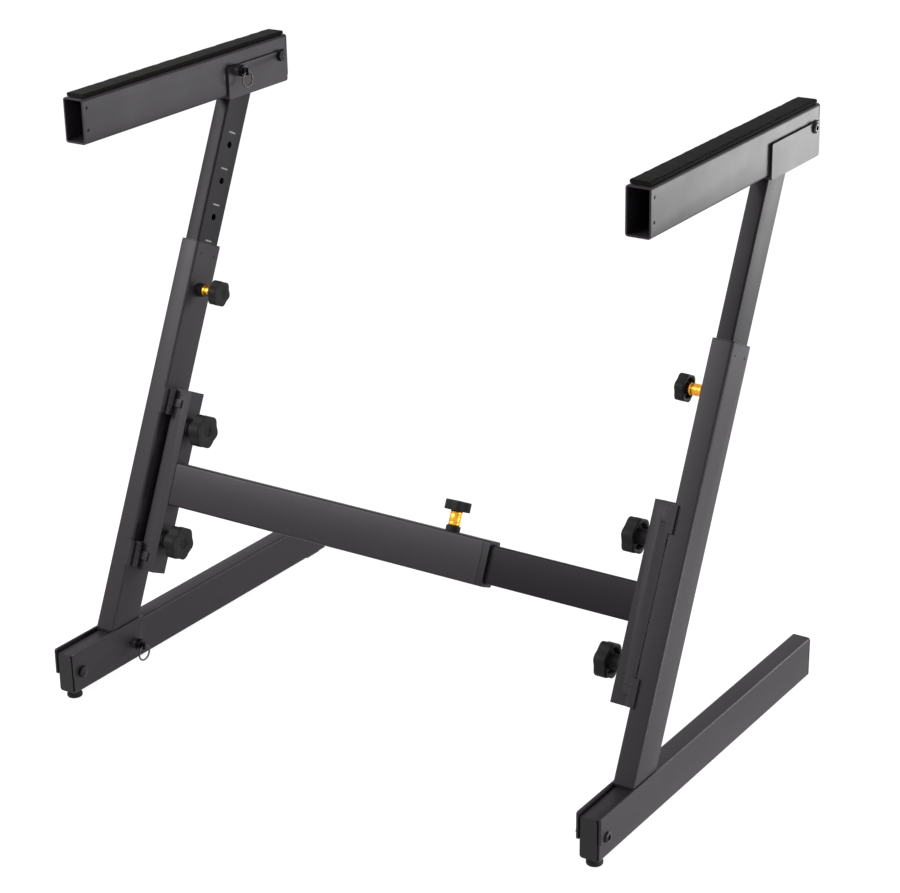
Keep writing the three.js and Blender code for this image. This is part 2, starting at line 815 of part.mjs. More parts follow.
// A shape whose points run anticlockwise, whatever order they were listed in.
function orient(shape) {
  const points = shape.getPoints();
  return THREE.ShapeUtils.isClockWise(points) ? new THREE.Shape(points.reverse()) : shape;
}

// The crossbar, in a frame that leans with the posts: X across, Y to the rear, Z up the posts.

function barAlongX(size, from, to) {
  const section = hollowSection(size.depth, size.height, size.wall, size.corner);
  return turned(prism(section, from, to), alongX);
}

const leftEnd = clearance.seat - stand.postX - webX;
const rightEnd = -leftEnd;
const knobHole = (radius) => rod(radius, 0, crossbar.height, sides.hole);

function outerBar() {
  const tube = barAlongX(crossbar, leftEnd, crossbar.end);
  return cut(tube, knobHole(plunger.pinRadius + clearance.running).translate(widthLock.x, 0, 0));
}

function innerBarTube() {
  const tube = barAlongX(innerBar, innerBar.start, rightEnd);
  const holes = [];
  for (let step = -widthLock.inward; step <= widthLock.outward; step += 1) {
    holes.push(knobHole(lockHole.radius).translate(widthLock.x + step * widthLock.pitch, 0, 0));
  }
  return cut(tube, ...holes);
}

function barBushing() {
  const slack = 2 * (crossbar.wall + clearance.seat);
  const fitOuter = { height: crossbar.height - slack, depth: crossbar.depth - slack };
  const fitInner = {
    height: innerBar.height + 2 * clearance.side,
    depth: innerBar.depth + 2 * clearance.side,
  };
  const from = crossbar.end - barBush.length;
  const face = crossbar.end + clearance.seat;
  const end = face + barBush.collar;
  const innerCorner = innerBar.corner + clearance.side;
  const ring = (size, corner) => {
    const shape = roundedRectangle(size.depth, size.height, corner);
    shape.holes.push(roundedRectangle(fitInner.depth, fitInner.height, innerCorner));
    return shape;
  };
  return joined(
    turned(prism(ring(fitOuter, crossbar.corner - crossbar.wall), from, end), alongX),
    turned(prism(ring(crossbar, crossbar.corner), face, end), alongX),
  );
}

// Assembly

const model = new THREE.Group();

function sideFrame(name, hand) {
  const group = new THREE.Group();
  group.scale.x = hand;
  const named = (part) => `${name}_${part}`;

  const footFrame = new THREE.Group();
  footFrame.position.set(stand.postX, foot.pivotY, footPivotZ);
  footFrame.rotation.x = -footTilt;
  const footHalf = foot.width / 2 + clearance.side + saddle.wall;
  const footEye = [eyeX(footHalf), lowerSaddle.pin, -lowerSaddle.pinDrop];
  footFrame.add(
    piece(named("foot_tube"), footTube(), powderCoat),
    piece(named("foot_front_cap"), frontCap(), blackPlastic),
    piece(named("foot_rear_cap"), rearCap(foot, foot.reach), blackPlastic),
    piece(named("foot_pivot_bolt"), crossBolt(footHalf), blackSteel),
    piece(named("lower_saddle"), lowerSaddleBody(), powderCoat),
    piece(
      named("foot_lock_pin"),
      lockPin(footHalf, -foot.width / 2 - clearance.side / 2),
      blackSteel,
      footPinPlace,
    ),
    piece(named("foot_pin_ring"), wireRing(), brightSteel, footEye),
  );

  const floor = new THREE.Group();
  floor.position.set(stand.postX, foot.pivotY, 0);
  floor.add(
    piece(named("leveling_foot"), solid(levellingFoot()), blackRubber, [0, levelFoot.back, 0]),
    piece(named("foot_rear_pad"), footRearPad(), blackRubber, [0, rearPadMiddle, 0]),
  );

  const armFrame = new THREE.Group();
  armFrame.position.set(stand.postX, arm.pivotY, armPivotZ);
  const armHalf = arm.width / 2 + clearance.side + saddle.wall;
  const armEye = [eyeX(armHalf), upperSaddle.pin, -upperSaddle.pinDrop];
  armFrame.add(
    piece(named("arm_tube"), armTube(), powderCoat),
    piece(named("arm_end_cap"), rearCap(arm, arm.tail), blackPlastic),
    piece(named("arm_foam"), solid(foamStrip()), foamRubber),
    piece(named("arm_pivot_bolt"), crossBolt(armHalf), blackSteel),
    piece(named("upper_saddle"), upperSaddleBody(), powderCoat),
    piece(
      named("arm_lock_pin"),
      lockPin(armHalf, -arm.width / 2 - clearance.side / 2),
      blackSteel,
      armPinPlace,
    ),
    piece(named("arm_pin_ring"), wireRing(), brightSteel, armEye),
  );

  const postFrame = new THREE.Group();
  postFrame.position.set(stand.postX, stand.postBaseY, 0);
  postFrame.rotation.x = -stand.lean;
  const lockPlace = [postInnerFace, 0, lockHeight];
  const pinBore = plunger.pinRadius + clearance.running;
  const lockDepth = outerPost.width / 2 - innerPost.width / 2 - clearance.tip;
  postFrame.add(
    piece(named("outer_post"), outerPostTube(), powderCoat),
    piece(named("post_bushing"), postBushing(), blackPlastic),
    piece(named("inner_post"), innerPostTube(), powderCoat),
    piece(named("height_boss"), facingIn(plungerBoss(pinBore)), blackPlastic, lockPlace),
    piece(named("height_collar"), facingIn(plungerCollar(pinBore)), goldAnodised, lockPlace),
    piece(named("height_knob"), facingIn(plungerKnob(lockDepth)), blackPlastic, lockPlace),
    piece(named("bracket"), bracketBody(), powderCoat),
    piece(named("bracket_hinge_lower"), hingeLeaf(hingeMiddles[0]), powderCoat),
    piece(named("bracket_hinge_upper"), hingeLeaf(hingeMiddles[1]), powderCoat),
  );
  ["lower", "upper"].forEach((level, i) => {
    const place = [webX, bracketMiddle, knobHeights[i]];
    postFrame.add(
      piece(named(`bracket_knob_${level}`), facingIn(clampKnobBody()), blackPlastic, place),
    );
  });

  group.add(footFrame, floor, armFrame, postFrame);
  return group;
}

function facingIn(body) {
  return turned(surface(body), inwards);
}

function crossbarGroup() {
  const group = new THREE.Group();
  group.position.set(0, stand.postBaseY, 0);
  group.rotation.x = -stand.lean;
  const bar = new THREE.Group();
  bar.position.set(0, bracketMiddle, crossbar.centre);
  const top = [widthLock.x, 0, crossbar.height / 2];
  const pinBore = plunger.pinRadius + clearance.running;
  const pinDepth = (crossbar.height - innerBar.height) / 2 - clearance.tip;
  bar.add(
    piece("crossbar_outer_tube", outerBar(), powderCoat),
    piece("crossbar_inner_tube", innerBarTube(), powderCoat),
    piece("crossbar_bushing", barBushing(), blackPlastic),
    piece("width_boss", plungerBoss(pinBore), blackPlastic, top),
    piece("width_collar", plungerCollar(pinBore), goldAnodised, top),
    piece("width_knob", plungerKnob(pinDepth), blackPlastic, top),
  );
  group.add(bar);
  return group;
}

model.add(sideFrame("right", 1), sideFrame("left", -1), crossbarGroup());

export default model;
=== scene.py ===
# %% [markdown]
# # Dressing a z keyboard stand
# The solids of this stand were made in a CAD program, in metres, with +Z up, +X to the right
# and -Y towards the player. This lesson gives them the looks of the real stand: powder-coated
# steel tubes, moulded knobs, gold collars and foam on the arms.

import json
import math

import bmesh
import bpy
from mathutils import Matrix, Vector, noise


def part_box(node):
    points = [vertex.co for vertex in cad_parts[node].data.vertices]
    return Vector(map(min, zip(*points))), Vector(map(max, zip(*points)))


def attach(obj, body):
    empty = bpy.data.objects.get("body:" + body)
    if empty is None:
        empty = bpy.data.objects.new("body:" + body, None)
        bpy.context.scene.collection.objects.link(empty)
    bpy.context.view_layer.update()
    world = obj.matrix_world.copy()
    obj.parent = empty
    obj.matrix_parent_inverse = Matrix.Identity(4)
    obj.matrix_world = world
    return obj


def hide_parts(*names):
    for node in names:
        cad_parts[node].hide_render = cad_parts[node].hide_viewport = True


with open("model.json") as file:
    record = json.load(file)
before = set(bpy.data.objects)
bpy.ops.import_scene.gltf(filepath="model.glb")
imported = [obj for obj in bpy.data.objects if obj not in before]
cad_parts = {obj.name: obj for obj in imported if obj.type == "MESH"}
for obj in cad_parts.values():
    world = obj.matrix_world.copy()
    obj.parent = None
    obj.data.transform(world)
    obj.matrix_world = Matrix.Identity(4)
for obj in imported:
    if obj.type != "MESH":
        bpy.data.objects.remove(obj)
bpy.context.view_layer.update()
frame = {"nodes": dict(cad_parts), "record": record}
MM = 0.001

# %% [markdown]
# ## The camera
# A product photograph is taken from far off with a long lens, so that parallel tubes stay nearly
# parallel. The camera could be aimed by eye, with a Track To constraint. Here its place, aim and
# small roll were worked out from the edges in the picture, so they are written as numbers. The
# picture is 900 pixels wide and its lens is 2394 pixels long, which is 96 mm on a 36 mm sensor.

# %% Place the camera
PICTURE_WIDTH = 900
FOCAL_PIXELS = 2394.4
SENSOR_WIDTH = 36
VIEW_DEPTH = 50
camera_place = Vector((1.3732, -2.0315, 1.2991))
aim_point = Vector((-0.0041, 0.047, 0.2819))
camera_roll = -0.0202

backwards = (camera_place - aim_point).normalized()
sideways = Vector((0, 0, 1)).cross(backwards).normalized()
upright = backwards.cross(sideways)
right = sideways * math.cos(camera_roll) + upright * math.sin(camera_roll)
above = upright * math.cos(camera_roll) - sideways * math.sin(camera_roll)

camera_data = bpy.data.cameras.new("camera")
camera_data.sensor_width = SENSOR_WIDTH
camera_data.lens = FOCAL_PIXELS / PICTURE_WIDTH * SENSOR_WIDTH
camera_data.clip_end = VIEW_DEPTH
camera = bpy.data.objects.new("camera", camera_data)
bpy.context.scene.collection.objects.link(camera)
axes = Matrix((right, above, backwards)).transposed()
camera.matrix_world = Matrix.Translation(camera_place) @ axes.to_4x4()
bpy.context.scene.camera = camera
print("lens in mm:", round(camera_data.lens, 1))

# %% [markdown]
# ## Helpers for finishes
# Colours are picked on a screen as sRGB hex values, but Blender mixes light in linear values, so
# one function turns the first into the second. A finish is a small tree of nodes. Rather than a
# function for each kind of node, one function adds any node, sets it and links it. Every finish
# starts with a shader and the place on the piece, and varies its colour between two near values,
# because no real surface has one flat colour.

# %% Colour and node helpers


def linear(hex_colour):
    channels = [int(hex_colour[i : i + 2], 16) / 255 for i in (1, 3, 5)]
    curve = [c / 12.92 if c <= 0.04045 else ((c + 0.055) / 1.055) ** 2.4 for c in channels]
    return (*curve, 1.0)


def add_node(tree, kind, settings=None, links=None):
    node = tree.nodes.new(kind)
    for name, value in (settings or {}).items():
        if name in node.inputs:
            node.inputs[name].default_value = value
        else:
            setattr(node, name, value)
    for name, output in (links or {}).items():
        tree.links.new(output, node.inputs[name])
    return node


def new_finish(name, shader_settings):
    finish = bpy.data.materials.new(name)
    finish.use_nodes = True
    tree = finish.node_tree
    tree.nodes.clear()
    shader = add_node(tree, "ShaderNodeBsdfPrincipled", shader_settings)
    add_node(tree, "ShaderNodeOutputMaterial", links={"Surface": shader.outputs["BSDF"]})
    place = add_node(tree, "ShaderNodeTexCoord").outputs["Object"]
    return finish, tree, shader, place


def tint(tree, shader, pattern, dark, pale):
    ramp = add_node(tree, "ShaderNodeValToRGB", links={"Fac": pattern})
    for stop, hex_colour in zip(ramp.color_ramp.elements, (dark, pale)):
        stop.color = linear(hex_colour)
    tree.links.new(ramp.outputs["Color"], shader.inputs["Base Color"])


print("a black in linear values:", [round(c, 4) for c in linear("#2a262b")[:3]])

# %% [markdown]
# ## Powder-coated steel
# The tubes are mild steel with a baked polyester powder coat. The powder melts into a skin with
# tiny hills, called orange peel, which breaks up reflections into a satin sheen. The hills are
# about 1 mm apart on the real coat. That is under a pixel here, so they are drawn 2 mm apart.
# A second, wide noise changes the roughness a little, as handling does.
# The coat is a plastic, so it isn't metallic, and its IOR is about 1.5. Its specular level is
# low, because the coat holds carbon black and a matting agent. The tubes that slide in others
# have a thinner coat, so that they still fit, with a lower specular level. Their darker colour is
# painted shade: it stands in for the shadow that the arms above cast on the sliding posts. It is
# the same tree with other numbers.

# %% Make the powder coats
PEEL_SPACING = 2 * MM
HANDLING_SPACING = 60 * MM


def baked_coat(name, dark, pale, specular):
    finish, tree, shader, place = new_finish(
        name, {"Metallic": 0.0, "IOR": 1.5, "Specular IOR Level": specular}
    )
    peel = add_node(
        tree,
        "ShaderNodeTexNoise",
        {"Scale": 1 / PEEL_SPACING, "Detail": 2.0},
        {"Vector": place},
    )
    handling = add_node(
        tree,
        "ShaderNodeTexNoise",
        {"Scale": 1 / HANDLING_SPACING, "Detail": 4.0, "Roughness": 0.6},
        {"Vector": place},
    )
    sheen_range = add_node(
        tree,
        "ShaderNodeMapRange",
        {"To Min": 0.4, "To Max": 0.5},
        {"Value": handling.outputs["Fac"]},
    )
    hills = add_node(
        tree,
        "ShaderNodeBump",
        {"Strength": 0.12, "Distance": 0.1 * MM},
        {"Height": peel.outputs["Fac"]},
    )
    tint(tree, shader, peel.outputs["Fac"], dark, pale)
    tree.links.new(sheen_range.outputs["Result"], shader.inputs["Roughness"])
    tree.links.new(hills.outputs["Normal"], shader.inputs["Normal"])
    return finish


powder_coat = baked_coat("satin_black_powder_coat_on_steel", "#1e1a1e", "#2a262b", 0.18)
# a darker copy of the coat: its darker colour is painted shade on the sliding tubes
shaded_thin_coat = baked_coat("shaded_thin_black_powder_coat_on_steel", "#161316", "#1f1b20", 0.1)
print("made", powder_coat.name, shaded_thin_coat.name)

# %% [markdown]
# ## Moulded plastics
# The knobs and bosses are nylon with glass fibre, moulded in a spark-eroded tool. The tool leaves
# a fine even grain, so the nylon looks matt. The end caps and the guide in each post are
# polyethylene, which is a little smoother and waxy. The rubber of the feet is the dullest. The
# grain is about 0.3 mm on the real knobs, drawn at 0.8 mm to show. All three are the same tree
# with other numbers, so one function makes them.

# %% Make the plastics


def moulded(name, dark, pale, rough, grain_spacing, grain_depth):
    finish, tree, shader, place = new_finish(
        name, {"Metallic": 0.0, "IOR": 1.52, "Specular IOR Level": 0.17}
    )
    grain = add_node(
        tree,
        "ShaderNodeTexNoise",
        {"Scale": 1 / grain_spacing, "Detail": 3.0},
        {"Vector": place},
    )
    uneven = add_node(
        tree,
        "ShaderNodeMapRange",
        {"To Min": rough - 0.05, "To Max": rough + 0.07},
        {"Value": grain.outputs["Fac"]},
    )
    pits = add_node(
        tree,
        "ShaderNodeBump",
        {"Strength": 0.25, "Distance": grain_depth},
        {"Height": grain.outputs["Fac"]},
    )
    tint(tree, shader, grain.outputs["Fac"], dark, pale)
    tree.links.new(uneven.outputs["Result"], shader.inputs["Roughness"])
    tree.links.new(pits.outputs["Normal"], shader.inputs["Normal"])
    return finish


nylon = moulded("black_glass_filled_nylon", "#0b0a0b", "#141214", 0.66, 0.8 * MM, 0.08 * MM)
polyethylene = moulded("black_polyethylene", "#161516", "#211f21", 0.42, 1.5 * MM, 0.04 * MM)
rubber = moulded("black_moulded_rubber", "#0f0f0f", "#1a1919", 0.7, 1.2 * MM, 0.08 * MM)
print("made", nylon.name, polyethylene.name, rubber.name)

# %% [markdown]
# ## Metals
# The collars are aluminium, turned on a lathe and anodised gold. The lathe leaves fine rings and
# the bath etches them, so the gold is silky rather than a mirror. The bolts, studs and lock pins
# are steel with a black oxide, which is dark but still metal. The pull rings are bent from spring
# wire with a black nickel plate, a dark mirror, and the pins of the plungers have it too. All
# three are metallic, keep the default IOR, and take their colour from the base colour. A fine
# noise varies colour and roughness a little, as wear does.

# %% Make the metals


def metal(name, dark, pale, rough, spacing):
    finish, tree, shader, place = new_finish(name, {"Metallic": 1.0})
    marks = add_node(
        tree,
        "ShaderNodeTexNoise",
        {"Scale": 1 / spacing, "Detail": 2.0},
        {"Vector": place},
    )
    uneven = add_node(
        tree,
        "ShaderNodeMapRange",
        {"To Min": rough - 0.06, "To Max": rough + 0.08},
        {"Value": marks.outputs["Fac"]},
    )
    tint(tree, shader, marks.outputs["Fac"], dark, pale)
    tree.links.new(uneven.outputs["Result"], shader.inputs["Roughness"])
    return finish


gold = metal("gold_anodised_turned_aluminium", "#d8932f", "#e8a63f", 0.36, 1.2 * MM)
black_oxide = metal("black_oxide_steel", "#1d1c1d", "#343335", 0.4, 2 * MM)
nickel = metal("black_nickel_plated_spring_wire", "#353332", "#514e4c", 0.3, 2 * MM)
print("made", gold.name, black_oxide.name, nickel.name)

# %% [markdown]
# ## Foam rubber
# A strip of closed-cell neoprene foam on each arm grips the keyboard. The same finish covers the
# thin dark strips in the hinge gaps, which are painted shade. Cut foam shows open cells, so it
# looks nearly black and scatters light with no clear highlight. A Voronoi pattern gives the cells.
# They are about 0.5 mm on the real foam and are drawn at 1.6 mm to show.

# %% Make the foam
CELL_SIZE = 1.6 * MM

foam, tree, shader, place = new_finish(
    "black_neoprene_foam",
    {
        "Metallic": 0.0,
        "IOR": 1.45,
        "Roughness": 0.95,
        "Sheen Weight": 0.03,
        "Specular IOR Level": 0.05,
    },
)
cells = add_node(
    tree,
    "ShaderNodeTexVoronoi",
    {"Scale": 1 / CELL_SIZE, "Randomness": 1.0},
    {"Vector": place},
)
pores = add_node(
    tree,
    "ShaderNodeBump",
    {"Strength": 0.6, "Distance": 0.4 * MM},
    {"Height": cells.outputs["Distance"]},
)
tint(tree, shader, cells.outputs["Distance"], "#080807", "#191817")
tree.links.new(pores.outputs["Normal"], shader.inputs["Normal"])
print("made", foam.name)

# %% [markdown]
# ## Helpers for pieces
# The pieces could be modelled by hand, but each has an exact place on the solids, so they are
# meshes made in code with bmesh. A piece needs a finish, the body that it rides on, the slot of
# its material and, if it stands for a solid, the name of that solid. One function sets the finish
# and the body, and hides that solid.
# Shading is smooth below 50 degrees, so a turned part looks round and keeps its sharp corners.

# %% Make the helpers for pieces
SMOOTH_BELOW = math.radians(50)
HANDS = {"right": 1, "left": -1}  # the sign of x on each side


def to_mesh(shape, name):
    mesh = bpy.data.meshes.new(name)
    shape.to_mesh(mesh)
    shape.free()
    return mesh


def smooth(mesh):
    mesh.polygons.foreach_set("use_smooth", [True] * len(mesh.polygons))
    mesh.set_sharp_from_angle(angle=SMOOTH_BELOW)


def keep(mesh, finish, body, slot, *stands_for):
    piece = bpy.data.objects.new(mesh.name, mesh)
    bpy.context.scene.collection.objects.link(piece)
    mesh.materials.clear()
    mesh.materials.append(finish)
    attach(piece, body)
    if stands_for:
        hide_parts(*stands_for)
    return piece


print("sides:", *HANDS)

# %% [markdown]
# ## Tubes and pressed parts
# The CAD solids of the tubes, saddles, brackets and hinges have the right shape, but their edges
# are perfectly sharp. A real edge is slightly rounded by the coat and catches a thin line of
# light. The solids themselves are never changed, so each gets a dressed copy. The copy welds the
# triangles into flat faces, and a Bevel modifier rounds its edges by 0.4 mm. A tube's drawn
# corners have several small facets, so they are shaded smooth, and only corners sharper than
# 50 degrees are bevelled.

# %% Dress the solids
FLAT_WITHIN = math.radians(0.5)
WELD = 0.001 * MM
COAT_EDGE = 0.4 * MM


def body_of_node(node):
    bodies = frame["record"]["behaviour"]["bodies"]
    return next(body for body, nodes in bodies.items() if node in nodes)


def dress(node, finish, slot, edge=COAT_EDGE):
    shape = bmesh.new()
    shape.from_mesh(frame["nodes"][node].data)
    bmesh.ops.remove_doubles(shape, verts=shape.verts, dist=WELD)
    bmesh.ops.dissolve_limit(
        shape, angle_limit=FLAT_WITHIN, verts=shape.verts, edges=shape.edges
    )
    mesh = to_mesh(shape, node + "_dressed")
    smooth(mesh)
    piece = keep(mesh, finish, body_of_node(node), slot, node)
    bevel = piece.modifiers.new("rounded edges", "BEVEL")
    bevel.width = edge
    bevel.segments = 2
    bevel.limit_method = "ANGLE"
    bevel.angle_limit = SMOOTH_BELOW
    bevel.harden_normals = True


tubes_and_plates = ["foot_tube", "lower_saddle", "outer_post", "upper_saddle", "arm_tube"]
tubes_and_plates += ["bracket", "bracket_hinge_upper", "bracket_hinge_lower"]
coated = ["crossbar_outer_tube"]
coated += [side + "_" + part for side in HANDS for part in tubes_and_plates]
for node in coated:
    dress(node, powder_coat, "powder_coat")
# the sliding tubes take the darker coat, whose darker colour is painted shade
sliding = ["right_inner_post", "left_inner_post", "crossbar_inner_tube"]
for node in sliding:
    dress(node, shaded_thin_coat, "powder_coat")
print("coated pieces:", len(coated) + len(sliding))

# %% [markdown]
# ## Caps, guides, pads and lock pins
# The plastic caps, the guide in the top of each post and the one at the end of the wide crossbar
# tube are polyethylene. They are dressed copies as well, and so are the rubber pads under the
# feet and the steel lock pins. Caps and pins have smaller edge radii than tubes and pads.

# %% Dress the fittings
FITTING_EDGE = 0.3 * MM
PAD_EDGE = 0.4 * MM

caps = ["foot_front_cap", "foot_rear_cap", "arm_end_cap", "post_bushing"]
fittings = ["crossbar_bushing"] + [side + "_" + part for side in HANDS for part in caps]
for node in fittings:
    dress(node, polyethylene, "black_plastic", FITTING_EDGE)
for side in HANDS:
    dress(side + "_foot_rear_pad", rubber, "black_rubber", PAD_EDGE)
    dress(side + "_foot_lock_pin", black_oxide, "black_steel", FITTING_EDGE)
    dress(side + "_arm_lock_pin", black_oxide, "black_steel", FITTING_EDGE)
print("plastic fittings:", len(fittings), "and on each side a pad and two pins")

# %% [markdown]
# ## Profiles for round parts
# Knobs, collars, bolts and feet are round about one axis, so a drawing gives half of the section.
# Here that is a list of stations, each with a radius, a height and an outline. An outline is a
# function that scales the radius round the circle: a nut has six flats, and a knob has six lobes,
# which are a cosine wave. Most stations are written in mm, as on a drawing. Two more functions
# give a corner with a radius and a screw thread, which is drawn as rings and not as a helix.

# %% Make the profiles
CORNER_STEPS = 4
LOBES = 6


def circle(angle):
    return 1.0


def hexagon(angle):
    return math.cos(math.pi / 6) / math.cos(angle % (math.pi / 3) - math.pi / 6)


def lobed(radius, valley):
    return lambda angle: 1 - valley / radius * (1 - math.cos(LOBES * angle)) / 2


def in_mm(*stations, outline=circle):
    return [(radius * MM, height * MM, outline) for radius, height in stations]


def rounded(radius, height, corner, upward=1, outline=circle):
    arc = []
    for step in range(CORNER_STEPS + 1):
        turn = math.pi / 2 * step / CORNER_STEPS
        inset = corner * (1 - math.cos(turn))
        drop = corner * (1 - math.sin(turn))
        arc.append((radius - inset, height - upward * drop, outline))
    return arc[::upward]


def thread(start, end, radius, pitch=2 * MM, depth=0.6 * MM):
    turns = int((end - start) / pitch)
    crests = []
    for turn in range(turns):
        foot = start + turn * pitch
        crests.append((radius - depth, foot, circle))
        crests.append((radius, foot + pitch / 2, circle))
    return crests + [(radius - depth, end, circle)]


print("a nut's corner is", round(1 / hexagon(math.pi / 6), 3), "of its flat")

# %% [markdown]
# ## A lathe for the round parts
# A Screw modifier can only turn a plain profile. This function builds rings of points instead, one
# for each station, and joins them into one closed skin. A profile that starts off the axis is a
# bushing: its last ring is joined to its first. The second function aims the lathe's axis.

# %% Build the lathe
STEPS_ROUND = 84


def lathe(name, stations, where, finish, body, slot, *stands_for):
    shape = bmesh.new()
    rings = []
    for radius, height, outline in stations:
        if radius == 0:
            rings.append([shape.verts.new((0, 0, height))])
            continue
        ring = []
        for step in range(STEPS_ROUND):
            angle = 2 * math.pi * step / STEPS_ROUND
            reach = radius * outline(angle)
            place = (reach * math.cos(angle), reach * math.sin(angle), height)
            ring.append(shape.verts.new(place))
        rings.append(ring)
    if stations[0][0] > 0:
        rings.append(rings[0])
    for low, high in zip(rings, rings[1:]):
        for step in range(STEPS_ROUND):
            after = (step + 1) % STEPS_ROUND
            corners = [low[step % len(low)], low[after % len(low)]]
            corners += [high[after % len(high)], high[step % len(high)]]
            shape.faces.new(list(dict.fromkeys(corners)))
    bmesh.ops.transform(shape, matrix=where, verts=shape.verts)
    bmesh.ops.recalc_face_normals(shape, faces=shape.faces)
    mesh = to_mesh(shape, name)
    smooth(mesh)
    keep(mesh, finish, body, slot, *stands_for)


def axis_at(place, direction, zero_angle=(0, 1, 0)):
    along = Vector(direction).normalized()
    side_on = along.cross(Vector(zero_angle)).normalized()
    turn = Matrix((side_on.cross(along), side_on, along)).transposed()
    return Matrix.Translation(Vector(place)) @ turn.to_4x4()


print("ready, with", STEPS_ROUND, "steps round")

# %% [markdown]
# ## Where things are on the leaning posts
# The posts lean back by 25.3 degrees. Everything on them is placed by its distance up the post,
# how far it lies behind the post's centre line, and how far from the middle of the stand. The
# brackets and the crossbar lean with the posts, 2 mm further back.

# %% Set out the posts
LEAN = math.radians(25.3)
POST_X = 344.5 * MM
POST_WIDTH = 25 * MM
POST_TOP = 518.6 * MM
WEB_X = POST_X - 41 * MM  # the bracket's face that the clamp knobs press on
BAR_BEHIND = 2 * MM
UP_POST = Vector((0, math.sin(LEAN), math.cos(LEAN)))
BEHIND_POST = Vector((0, math.cos(LEAN), -math.sin(LEAN)))
POST_BASE = Vector((0, -177.7 * MM, 0))


def on_post(side, x, behind, up):
    return Vector((HANDS[side] * x, 0, 0)) + POST_BASE + BEHIND_POST * behind + UP_POST * up


print("top of a post:", [round(v, 4) for v in on_post("right", POST_X, 0, POST_TOP)])

# %% [markdown]
# ## Clamp knobs
# Four hand knobs clamp the side frames to the brackets. Each is a nylon moulding round a steel
# stud: a washer face, a slim hub, and a wide head with six soft lobes. The head is hollow at the
# back, because an even wall cools without sink marks. In front a small round recess with a raised
# ring shows where the plastic flowed into the mould. One lobe points straight behind the post.
# The stud is a piece of its own, so that it can be steel.

# %% Make the clamp knobs
KNOB_RADIUS = 20.2 * MM
KNOB_VALLEY = 2.4 * MM
KNOB_EDGE = 1.4 * MM
HEAD_BACK = 11.8 * MM
HEAD_FRONT = 25.8 * MM
STUD_TIP = -29.8 * MM
STUD_TOP = 0.2 * MM
STUD_RADIUS = 4 * MM
STUD_CHAMFER = 0.6 * MM
KNOB_HEIGHTS = {"lower": 173.35 * MM, "upper": 305.45 * MM}


def clamp_knob(side, level):
    outline = lobed(KNOB_RADIUS, KNOB_VALLEY)
    washer = in_mm((0, 0.3), (10.6, 0.3)) + rounded(11 * MM, 2.3 * MM, 0.4 * MM)
    hub = in_mm((9.4, 2.3), (8.7, 2.7), (8.5, 3.4), (8.5, 17.2), (9.1, 17.8))
    hollow = in_mm((13.9, 17.8), (14.5, 17.2), (14.5, 12.3), (15, 11.8))
    head = rounded(KNOB_RADIUS, HEAD_BACK, KNOB_EDGE, upward=-1, outline=outline)
    head += rounded(KNOB_RADIUS, HEAD_FRONT, KNOB_EDGE, outline=outline)
    recess = in_mm((6.4, 25.8), (6, 25.6), (5.8, 24.9), (5.2, 24.8), (4, 24.8), (3.7, 25.2))
    recess += in_mm((3.2, 25.3), (2.7, 25.2), (2.4, 24.8), (0, 24.8))
    seat = on_post(side, WEB_X, BAR_BEHIND, KNOB_HEIGHTS[level])
    where = axis_at(seat, (-HANDS[side], 0, 0), BEHIND_POST)
    node = side + "_bracket_knob_" + level
    body = side + "_clamp_" + level
    moulding = washer + hub + hollow + head + recess
    lathe(node + "_moulded", moulding, where, nylon, body, "black_plastic", node)
    stud = [(0, STUD_TIP, circle), (3 * MM, STUD_TIP, circle)]
    stud += thread(STUD_TIP + STUD_CHAMFER, STUD_TOP, STUD_RADIUS) + [(0, STUD_TOP, circle)]
    lathe(node + "_stud", stud, where, black_oxide, body, "black_steel")


for side in HANDS:
    for level in KNOB_HEIGHTS:
        clamp_knob(side, level)
print("clamp knobs: 4, head", round(2 * KNOB_RADIUS / MM, 1), "mm across")

# %% [markdown]
# ## Sprung plungers
# Three plungers lock the height and the width. A plastic boss sits on the tube, then a gold
# collar, then a flat knob on a steel pin. The collar is the one bright spot of the stand, so it
# gets its chamfers and two fine grooves from the lathe. Boss and collar are bored for the pin.
# The knob has six lobes like the large ones, with sharper edges, a hollow back and a small dish
# in front.

# %% Make the plungers
PULL_RADIUS = 15.6 * MM
PULL_VALLEY = 1.9 * MM
PULL_BACK = 22.6 * MM
PULL_FRONT = 33.1 * MM
LOCK_UP = 465.1 * MM
BAR_TOP_UP = 263.6 * MM
WIDTH_LOCK_X = 70 * MM
# In mm, as in the profiles: the bore, and how far each pin reaches into its tube.
BORE = 3.3
HEIGHT_PIN = 2.1
WIDTH_PIN = 3.2


